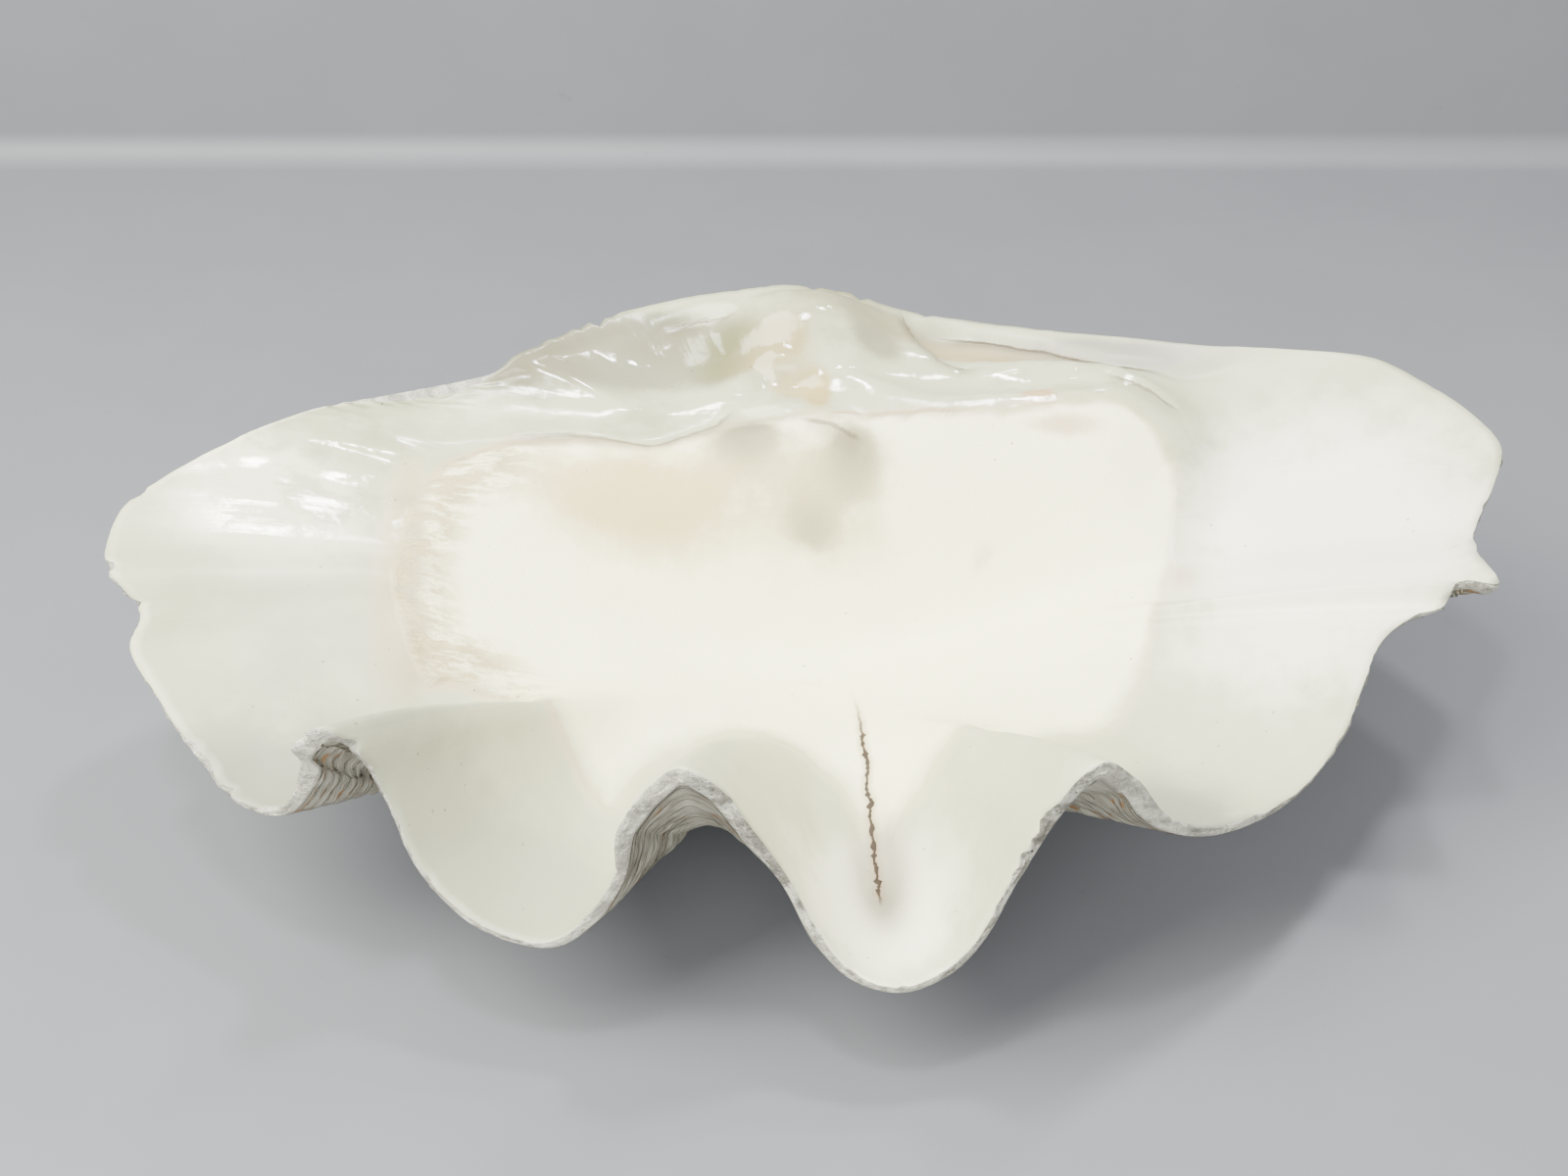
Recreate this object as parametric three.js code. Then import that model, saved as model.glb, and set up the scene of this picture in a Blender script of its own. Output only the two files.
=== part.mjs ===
// One valve of a giant clam, lying on its worn underside with the hollow facing up.
// Millimetres, +Z up. The hinge runs along X at the back (+Y) and the wavy lip faces -Y.

import * as THREE from 'three';

// Driving dimensions
const LIP_THICKNESS = [3, 5.6];  // shell wall at the broken edge, in the lip's hollows and on its crests
const CREST_HEIGHTS = [55, 85];  // Z over which the one turns to the other
const THIN_ENDS = [150, 190];    // distance from the middle, along X, over which the edge thins out
const DEEP_THICKNESS = 12;       // least wall further in, where the shell has grown thick
const THICK_FROM_ANGLE = 0.5;    // growth angle at which the wall has reached that thickness
const BOWL_BOTTOM = [6, 5, 28];  // deepest point of the hollow
const BOWL_CURVE = 1.5;          // 1 for a cone, 2 for a round bowl
const FOLD_LEAN = [-8, 90];      // how the folds lean back toward the beak on their way in
const FOLD_REACH = [0.35, 1];    // share of the way to the lip over which the front folds rise
const HINGE_FOLD_REACH = [0.3, 0.95]; // the same behind, where the lip is the hinge line
const HINGE_BEARING = 90;        // degrees round the hollow to the middle of the hinge
const HINGE_SPREAD = 52;         // degrees either way that count as the hinge's side
const HINGE_SIDE_EDGE = [0.05, 0.85];
const HINGE_EDGE_MIDDLE = 60;    // Y of the hinge plate's front edge, straight in from the beak
const HINGE_EDGE_SLANT = 0.045;  // how much further back that edge is per millimetre to the right
const HINGE_WALL_WIDTH = 44;     // from the plate's edge forward to the foot of the wall below it
const LEAST_PLATE_WIDTH = 20;    // from the plate's edge back to the lip, where they run together
const HINGE_WALL_SPAN = [-155, -95, 100, 160]; // where along X that wall starts, stands and ends
const HINGE_PLATE_HEIGHTS = [87, 97]; // height of the plate's edge, left and right of the beak
const PLATE_RISE = [-50, 0];     // X over which the one height turns to the other
const BEAK = [-5, 107, 98];      // point that the shell has coiled out from
const HINGE_REACH = [12, 75];    // distance from the beak's axis over which the turning sets in
const HINGE_BULGE = 15;          // how far the outside swells out below the hinge line
const BULGE_WAY = [0, 0.87, -0.5];
const THICKENING_PASSES = 3;
const FREE_OF_BEAK = [20, 70];   // distance from the beak over which the wall may be thickened
const WORN_FLAT_HEIGHT = -2;     // level at which the ribs underneath are worn flat
const FOLD_SMOOTHING = 75;       // length of lip over which the folds average out
const EDGE_SMOOTHING = 6;        // length of lip over which the edge's facing averages out
const EDGE_SHARES = [0.95, 0.975, 1]; // the last of the way to the lip, which gives the edge's facing
const EDGE_SET_IN = 0.7;         // how far the outer corner of the edge is set in below the inner one

// Growth of the outside, as the angle turned about the hinge line
const GROWTH_RATE = 0.74;
const GROWTH_QUICKENING = 0.12;
const LAST_GROWTH_ANGLE = THREE.MathUtils.degToRad(118);
const CLOSING_POWER = 5;         // how late the outside closes to the beak
const OLD_FOLD_SHARE = 0.45;     // fold height left in old growth, as a share of the lip's
const OLD_FOLD_ANGLE = 0.16;     // growth angle over which the folds sink to that share

// How finely the surfaces are drawn
const SAMPLES_PER_STATION = 2;
const INSIDE_RINGS = 17;
const INSIDE_CROWDING = 0.9;     // below 1, the rings stand closer toward the lip
const OUTSIDE_RINGS = 18;
const OUTSIDE_CROWDING = 1.2;    // above 1, the rings stand closer toward the lip

// The lip, from the beak round by the left end, the front folds and the right end: x, y, z
const LIP = [
  // beak and the gap for the foot, left of it
  [-5, 103, 122], [-21, 103, 120], [-38, 106, 116], [-58, 100, 114], [-78, 87, 112], [-100, 72, 109],
  // left shoulder and left end
  [-126, 62, 107], [-149, 53, 105], [-173, 40, 102], [-192, 22, 99], [-204, 6, 96],
  [-206, -8, 92], [-201, -23, 92], [-192, -30, 82], [-193, -40, 77],
  // first hollow of the lip
  [-183, -53, 69], [-173, -65, 62], [-157, -78, 52.5], [-143, -86, 57],
  [-136, -90, 69], [-133, -92, 78], [-133.5, -96, 86],
  // first crest, second hollow
  [-124, -101, 97], [-117, -99, 90], [-110, -97, 70], [-102, -105, 52], [-87, -114, 41],
  [-68, -118, 38], [-57.5, -118, 46], [-49.5, -117.5, 60], [-47.5, -118, 78], [-39, -120, 93],
  // second crest, third hollow
  [-31, -121, 100], [-22, -120, 94], [-13, -119, 79], [-3, -119, 60], [5, -124, 45], [14, -129, 37],
  [26, -131, 34.5], [38, -128, 38], [46, -125, 47], [54, -121, 65], [63, -119, 86],
  // third crest, fourth hollow
  [74, -118, 100], [84, -114, 91], [94, -108, 74], [106, -102, 64], [121, -92, 58], [139, -76, 55],
  [154, -59, 60], [163, -43, 67], [168, -36, 76], [176, -35, 85], [184, -35, 88.5], [186, -34, 95],
  // fourth crest and right end
  [189, -34.5, 97], [199, -32.5, 94.5], [200, -15, 92], [204, 3, 89],
  [213, 19, 94], [220, 36, 99], [215, 50, 102],
  // right shoulder, back along the hinge
  [203, 70, 104], [190, 86, 104], [167, 95, 102], [142, 100, 101], [115, 105, 101], [86, 109, 102],
  [60, 110, 105], [38, 107, 110], [15, 104, 119],
];

// Raised lines of the hinge, seen from above: x, y
const HINGE_RIDGES = [
  // edge of the plate, bending forward at its right end
  {
    line: [[8, 61], [30, 63], [53, 64], [78, 66], [104, 69], [119, 64], [127, 52], [126, 40]],
    height: 4.5,
    width: 5.5,
  },
  // crest in front of the groove for the ligament
  { line: [[41, 87], [79, 85], [105, 79], [122, 72], [132, 62]], height: 5, width: 5.5 },
  // edge of the shelf left of the beak
  { line: [[-108, 64], [-95, 67], [-63, 66], [-31, 72], [-14, 68]], height: 3.5, width: 7 },
];
const RIDGE_FADE = [0.06, 0.96]; // how far into its fading ends a ridge starts and stops
const RIDGE_FULLNESS = 0.6;

// Swelling under the beak, and the hollow of the shelf beside it
const HINGE_MOUNDS = [
  { centre: [8, 88], reach: [27, 13], height: 9 },
  { centre: [-62, 84], reach: [34, 11], height: -4 },
];
const RELIEF_END = [0.93, 1];    // share of the way to the lip over which the relief runs out

const { clamp, lerp, smoothstep } = THREE.MathUtils;

// Distance from a point to a line of points, and how far along the line the nearest point is.
function distanceToLine(x, y, line) {
  let nearest = { distance: Infinity, along: 0 };
  for (let i = 0; i < line.length - 1; i++) {
    const [ax, ay] = line[i];
    const [bx, by] = line[i + 1];
    const lengthSquared = (bx - ax) ** 2 + (by - ay) ** 2;
    const share = clamp(((x - ax) * (bx - ax) + (y - ay) * (by - ay)) / lengthSquared, 0, 1);
    const distance = Math.hypot(x - ax - share * (bx - ax), y - ay - share * (by - ay));
    if (distance < nearest.distance) nearest = { distance, along: (i + share) / (line.length - 1) };
  }
  return nearest;
}

// A rounded ridge along a line, fading out at both of its ends.
function ridgeHeight(x, y, { line, height, width }) {
  const { distance, along } = distanceToLine(x, y, line);
  const fading = Math.sin(Math.PI * lerp(...RIDGE_FADE, along)) ** RIDGE_FULLNESS;
  return height * Math.exp(-((distance / width) ** 2)) * fading;
}

function moundHeight(x, y, { centre, reach, height }) {
  return height * Math.exp(-(((x - centre[0]) / reach[0]) ** 2) - ((y - centre[1]) / reach[1]) ** 2);
}

// Height that the hinge's teeth, crest and shelf add to the smooth inside.
function hingeRelief(x, y, shareToLip) {
  const ridges = HINGE_RIDGES.reduce((sum, ridge) => sum + ridgeHeight(x, y, ridge), 0);
  const mounds = HINGE_MOUNDS.reduce((sum, mound) => sum + moundHeight(x, y, mound), 0);
  return (ridges + mounds) * (1 - smoothstep(shareToLip, ...RELIEF_END));
}

// The lip as a closed smooth curve through its stations.
function drawLip() {
  const stations = LIP.map(([x, y, z]) => new THREE.Vector3(x, y, z));
  const curve = new THREE.CatmullRomCurve3(stations, true, 'centripetal');
  const count = LIP.length * SAMPLES_PER_STATION;
  return Array.from({ length: count }, (_, i) => curve.getPoint(i / count));
}

// Averages vectors along the lip, each weighted by the length of lip that it stands for.
function averageAlongLip(vectors, lip, reach) {
  const count = lip.length;
  const steps = lip.map((point, i) => point.distanceTo(lip[(i + 1) % count]));
  const position = [0];
  steps.forEach((step, i) => position.push(position[i] + step));
  const total = position[count];
  return vectors.map((_, i) => {
    const sum = new THREE.Vector3();
    let weightSum = 0;
    vectors.forEach((vector, j) => {
      const apart = Math.abs(position[i] - position[j]);
      const along = Math.min(apart, total - apart);
      const stands = (steps[j] + steps[(j + count - 1) % count]) / 2;
      const weight = stands * Math.exp(-0.5 * (along / reach) ** 2);
      sum.addScaledVector(vector, weight);
      weightSum += weight;
    });
    return sum.divideScalar(weightSum);
  });
}

// A point of the inside: share 0 is the bottom of the hollow and share 1 the lip.
function insidePoint(lipPoint, mean, share, allMeans) {
  const [bx, by, bz] = BOWL_BOTTOM;
  const fold = lipPoint.clone().sub(mean);
  const bearing = THREE.MathUtils.radToDeg(Math.atan2(mean.y - by, mean.x - bx));
  const nearHinge = Math.exp(-(((bearing - HINGE_BEARING) / HINGE_SPREAD) ** 2));
  const hingeSide = smoothstep(nearHinge, ...HINGE_SIDE_EDGE);
  const foldShare = lerp(smoothstep(share, ...FOLD_REACH), smoothstep(share, ...HINGE_FOLD_REACH), hingeSide);
  const lean = share * (1 - share) * (1 - hingeSide);
  const x = bx + share * (mean.x - bx) + foldShare * fold.x + lean * FOLD_LEAN[0];
  const y = by + share * (mean.y - by) + foldShare * fold.y + lean * FOLD_LEAN[1];
  const beyond = meanBeyond(x - foldShare * fold.x, y - foldShare * fold.y, allMeans);
  const openBowl = bz + beyond.share ** BOWL_CURVE * (beyond.height - bz) + foldShare * fold.z;
  const plateWidth = Math.max(behindHingeEdge(lipPoint.x, lipPoint.y), LEAST_PLATE_WIDTH);
  const acrossPlate = clamp(behindHingeEdge(x, y) / plateWidth, 0, 1);
  const plateEdge = lerp(...HINGE_PLATE_HEIGHTS, smoothstep(x, ...PLATE_RISE));
  const hingePlate = lerp(plateEdge, lipPoint.z, acrossPlate);
  return new THREE.Vector3(x, y, lerp(openBowl, hingePlate, hingeWall(x, y)));
}

// Height of the average lip in the direction of x, y from the bottom of the hollow, and how far out
// to that lip the place x, y lies.
function meanBeyond(x, y, allMeans) {
  const [bx, by] = BOWL_BOTTOM;
  const sideOf = (point) => (point.x - bx) * (y - by) - (point.y - by) * (x - bx);
  const towards = (point) => (point.x - bx) * (x - bx) + (point.y - by) * (y - by) > 0;
  for (let i = 0; i < allMeans.length; i++) {
    const here = allMeans[i];
    const next = allMeans[(i + 1) % allMeans.length];
    const before = sideOf(here);
    const after = sideOf(next);
    if (before >= 0 && after < 0 && towards(here)) {
      const between = here.clone().lerp(next, before / (before - after));
      const share = Math.hypot(x - bx, y - by) / Math.hypot(between.x - bx, between.y - by);
      return { height: between.z, share };
    }
  }
  return { height: allMeans[0].z, share: 0 };
}

function behindHingeEdge(x, y) {
  return y - HINGE_EDGE_MIDDLE - HINGE_EDGE_SLANT * x;
}

// 0 in the open bowl, 1 on the hinge plate, and between them on the wall below the plate's edge.
function hingeWall(x, y) {
  const [leftEnd, leftFull, rightFull, rightEnd] = HINGE_WALL_SPAN;
  const alongHinge = smoothstep(x, leftEnd, leftFull) * (1 - smoothstep(x, rightFull, rightEnd));
  return smoothstep(behindHingeEdge(x, y), -HINGE_WALL_WIDTH, 0) * alongHinge;
}

function drawInside(lip, mean, shares, withHinge) {
  return shares.map((share) => lip.map((lipPoint, i) => {
    const point = insidePoint(lipPoint, mean[i], share, mean);
    if (withHinge) point.z += hingeRelief(point.x, point.y, share);
    return point;
  }));
}

// Directions that face out of the wall, one for each point of a set of rings.
function facings(rings) {
  return rings.map((ring, j) => ring.map((_, i) => {
    const next = ring[(i + 1) % ring.length];
    const last = ring[(i + ring.length - 1) % ring.length];
    const outer = rings[Math.min(j + 1, rings.length - 1)][i];
    const inner = rings[Math.max(j - 1, 0)][i];
    const along = next.clone().sub(last);
    return along.cross(outer.clone().sub(inner)).normalize();
  }));
}

// The outer corner of the broken edge: it is set in a little below the inner corner.
function drawOuterEdge(lip, mean) {
  const rings = drawInside(lip, mean, EDGE_SHARES, false);
  const out = averageAlongLip(facings(rings)[2], lip, EDGE_SMOOTHING).map((facing) => facing.normalize());
  const inward = rings[1].map((point, i) => point.clone().sub(lip[i]));
  const setIn = averageAlongLip(inward, lip, EDGE_SMOOTHING).map((direction) => direction.normalize());
  return lip.map((point, i) => {
    const direction = out[i].clone().addScaledVector(setIn[i], EDGE_SET_IN).normalize();
    return point.clone().addScaledVector(direction, edgeThickness(point));
  });
}

function edgeThickness(point) {
  const crest = smoothstep(point.z, ...CREST_HEIGHTS) * (1 - smoothstep(Math.abs(point.x), ...THIN_ENDS));
  return lerp(...LIP_THICKNESS, crest);
}

// The outside: the edge shrinks toward the beak as it turns under, so its folds become ribs.
function drawOutside(lip, mean, angles) {
  const edge = drawOuterEdge(lip, mean);
  const edgeMean = averageAlongLip(edge, lip, FOLD_SMOOTHING);
  const beak = new THREE.Vector3(...BEAK);
  const hingeLine = new THREE.Vector3(1, 0, 0);
  const bulgeWay = new THREE.Vector3(...BULGE_WAY);
  return angles.map((angle) => {
    const closing = 1 - (angle / LAST_GROWTH_ANGLE) ** CLOSING_POWER;
    const size = Math.exp(-GROWTH_RATE * angle - GROWTH_QUICKENING * angle ** 2) * closing;
    const foldShare = lerp(OLD_FOLD_SHARE, 1, Math.exp(-angle / OLD_FOLD_ANGLE));
    return edge.map((corner, i) => {
      const turning = turningShare(edgeMean[i]);
      const bulge = HINGE_BULGE * 4 * size * (1 - size) * (1 - turning);
      return edgeMean[i].clone().lerp(corner, foldShare).sub(beak)
        .applyAxisAngle(hingeLine, angle * turning).multiplyScalar(size).add(beak)
        .addScaledVector(bulgeWay, bulge);
    });
  });
}

// Points near the hinge line hardly turn as the shell grows: they slide along it to the beak.
function turningShare(point) {
  return smoothstep(Math.hypot(point.y - BEAK[1], point.z - BEAK[2]), ...HINGE_REACH);
}

// Moves the outside out wherever the wall would be thinner than it may be.
function thickenWall(outside, inside, angles, lip) {
  const facing = facings(inside);
  const points = inside.flat();
  const beak = new THREE.Vector3(...BEAK);
  const directions = facing.flat();
  outside.forEach((ring, j) => {
    if (j === 0) return;
    const deep = Math.min(angles[j] / THICK_FROM_ANGLE, 1);
    ring.forEach((corner, i) => {
      const least = lerp(edgeThickness(lip[i]), DEEP_THICKNESS, deep);
      const freeShare = smoothstep(corner.distanceTo(beak), ...FREE_OF_BEAK);
      for (let pass = 0; pass < THICKENING_PASSES; pass++) {
        let nearest = 0;
        points.forEach((point, k) => {
          if (point.distanceToSquared(corner) < points[nearest].distanceToSquared(corner)) nearest = k;
        });
        const wall = corner.clone().sub(points[nearest]).dot(directions[nearest]);
        if (wall < least) corner.addScaledVector(directions[nearest], (least - wall) * freeShare);
      }
    });
  });
}

// Joins the rings to one closed skin: hollow, broken edge, outside.
function closedSkin(inside, outside) {
  const rings = [...inside, ...outside];
  const count = rings[0].length;
  const lastRing = rings.length - 1;
  const points = [new THREE.Vector3(...BOWL_BOTTOM), ...rings.flat(), new THREE.Vector3(...BEAK)];
  const corner = (ring, i) => 1 + ring * count + (i % count);
  const faces = [];
  for (let i = 0; i < count; i++) {
    faces.push(0, corner(0, i), corner(0, i + 1));
    for (let ring = 0; ring < lastRing; ring++) {
      faces.push(corner(ring, i), corner(ring + 1, i), corner(ring + 1, i + 1));
      faces.push(corner(ring, i), corner(ring + 1, i + 1), corner(ring, i + 1));
    }
    faces.push(corner(lastRing, i), points.length - 1, corner(lastRing, i + 1));
  }
  const geometry = new THREE.BufferGeometry().setFromPoints(points);
  geometry.setIndex(faces);
  return geometry;
}

function makeValve() {
  const lip = drawLip();
  const mean = averageAlongLip(lip, lip, FOLD_SMOOTHING);
  const shares = Array.from({ length: INSIDE_RINGS }, (_, j) => ((j + 1) / INSIDE_RINGS) ** INSIDE_CROWDING);
  const angles = Array.from({ length: OUTSIDE_RINGS }, (_, j) => (
    LAST_GROWTH_ANGLE * (j / OUTSIDE_RINGS) ** OUTSIDE_CROWDING));
  const inside = drawInside(lip, mean, shares, true);
  const outside = drawOutside(lip, mean, angles);
  thickenWall(outside, inside, angles, lip);
  outside.flat().forEach((point) => { point.z = Math.max(point.z, WORN_FLAT_HEIGHT); });
  const geometry = closedSkin(inside, outside);
  geometry.computeBoundingBox();
  const { min, max } = geometry.boundingBox;
  geometry.translate(-(min.x + max.x) / 2, -(min.y + max.y) / 2, -min.z);
  geometry.computeVertexNormals();
  const chalkyShell = new THREE.MeshStandardMaterial({ color: '#efece2', roughness: 0.42, metalness: 0 });
  const valve = new THREE.Mesh(geometry, chalkyShell);
  valve.name = 'valve';
  return valve;
}

const clam = new THREE.Group();
clam.add(makeValve());

export default clam;
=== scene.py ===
import math
import bmesh
import bpy
import numpy as np
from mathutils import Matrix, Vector, kdtree, noise


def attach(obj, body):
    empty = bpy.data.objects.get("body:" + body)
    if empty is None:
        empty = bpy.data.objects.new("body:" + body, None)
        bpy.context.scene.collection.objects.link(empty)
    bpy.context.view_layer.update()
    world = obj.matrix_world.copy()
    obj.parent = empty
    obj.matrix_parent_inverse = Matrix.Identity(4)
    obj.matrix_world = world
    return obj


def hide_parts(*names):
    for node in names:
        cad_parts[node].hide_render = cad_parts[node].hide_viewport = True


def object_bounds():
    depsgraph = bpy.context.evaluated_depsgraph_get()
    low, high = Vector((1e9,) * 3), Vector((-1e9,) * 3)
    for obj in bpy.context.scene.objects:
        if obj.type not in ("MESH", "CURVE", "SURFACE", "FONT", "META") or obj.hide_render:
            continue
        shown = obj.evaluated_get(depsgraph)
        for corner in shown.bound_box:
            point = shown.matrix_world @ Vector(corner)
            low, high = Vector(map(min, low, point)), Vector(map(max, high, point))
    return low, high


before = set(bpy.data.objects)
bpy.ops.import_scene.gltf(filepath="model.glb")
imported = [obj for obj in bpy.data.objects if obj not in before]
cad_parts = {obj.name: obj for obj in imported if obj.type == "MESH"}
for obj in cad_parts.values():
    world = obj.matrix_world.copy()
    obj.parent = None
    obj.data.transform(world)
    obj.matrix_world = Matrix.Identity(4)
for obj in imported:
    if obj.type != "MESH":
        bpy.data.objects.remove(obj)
cadLow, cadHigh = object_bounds()

mm = 0.001
eased = {"interpolation_type": "SMOOTHSTEP"}  # for masks that start and end softly


def hexColor(text):
    # sRGB hex to the linear colour that the shader wants
    parts = [int(text[i:i + 2], 16) / 255 for i in (1, 3, 5)]
    return tuple(c / 12.92 if c <= 0.04045 else ((c + 0.055) / 1.055) ** 2.4 for c in parts) + (1.0,)


def addNode(tree, kind, sockets=(), **settings):
    # sockets: in order, or by name or number, with a value or what feeds it; a node stands for its first live output
    node = tree.nodes.new("ShaderNode" + kind)
    for name, value in settings.items():
        setattr(node, name, value)
    for place, source in (sockets if isinstance(sockets, dict) else dict(enumerate(sockets))).items():
        if isinstance(source, bpy.types.Node):
            source = next(output for output in source.outputs if output.enabled)
        if isinstance(source, bpy.types.NodeSocket):
            tree.links.new(source, node.inputs[place])
        else:
            node.inputs[place].default_value = source
    return node


def newMaterial(name, patterns):
    # patterns: blotch size in mm, detail, roughness, and stretch where there is one
    material = bpy.data.materials.new(name)
    material.use_nodes = True
    tree = material.node_tree
    tree.nodes.clear()
    place = addNode(tree, "TexCoord").outputs["Object"]
    drawn = {}
    for pattern, (size, detail, roughness, *stretch) in patterns.items():
        scale = [1000 / size * part for part in stretch or (1, 1, 1)]
        scaled = addNode(tree, "Mapping", {"Vector": place, "Scale": scale})
        drawn[pattern] = addNode(tree, "TexNoise", {"Vector": scaled, "Scale": 1.0, "Detail": detail,
                                                    "Roughness": roughness})
    return material, tree, place, drawn


# the camera stands as it did for the photo: level, looking a little down on the hollow
cameraSetup = {
    "aim": (-12.0, 6.0, 72.0),  # mm, a point inside the hollow
    "distance": 581.0,  # mm
    "elevation": 35.0,  # degrees above the horizon
    "fieldOfView": 45.0,  # degrees across the picture
    "sensor": 36.0,  # mm
}


def makeCamera(setup):
    data = bpy.data.cameras.new("photoCamera")
    data.sensor_width = setup["sensor"]
    data.lens = setup["sensor"] / 2 / math.tan(math.radians(setup["fieldOfView"] / 2))
    camera = bpy.data.objects.new("photoCamera", data)
    bpy.context.scene.collection.objects.link(camera)
    angle = math.radians(setup["elevation"])
    back = Vector((0, -math.cos(angle), math.sin(angle)))
    camera.location = Vector(setup["aim"]) * mm + back * setup["distance"] * mm
    camera.rotation_euler = (-back).to_track_quat("-Z", "Y").to_euler()
    bpy.context.scene.camera = camera


makeCamera(cameraSetup)
print("camera placed")

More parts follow.
